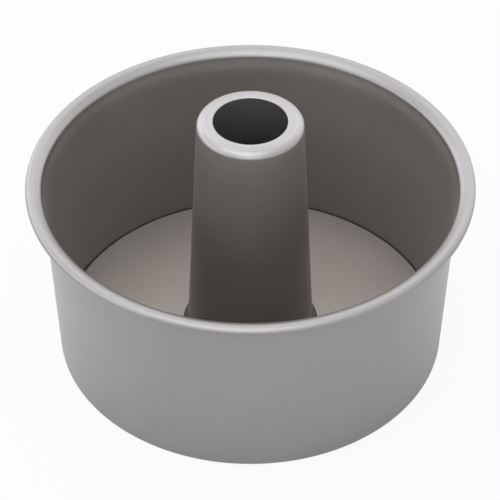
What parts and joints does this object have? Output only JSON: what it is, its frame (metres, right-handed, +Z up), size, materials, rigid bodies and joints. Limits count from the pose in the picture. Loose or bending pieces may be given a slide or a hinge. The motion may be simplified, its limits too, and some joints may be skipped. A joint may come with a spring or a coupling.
{
  "type": "angel food cake pan",
  "caption": "Deep round tube pan in satin anodised aluminium with a rolled rim and a lift-out base disc that carries a tapered centre tube.",
  "frame": {"origin": "centre of the pan's foot, on the surface that it stands on", "axes": "+Z up along the common axis of wall, disc and tube; +X and +Y are equal, because the pan is round"},
  "size_m": [0.2194, 0.2194, 0.1355],
  "materials": {
    "anodised_wall": "satin",
    "anodised_disc": "satin",
    "anodised_tube": "satin"
  },
  "bodies": {
    "wall": {"pan_wall": "anodised_wall"},
    "insert": {"base_disc": "anodised_disc", "center_tube": "anodised_tube"}
  },
  "joints": [
    {"name": "insert_lift", "type": "slide", "parent": "wall", "child": "insert", "axis": [0, 0, 1], "range_m": [0, 0.13]}
  ]
}
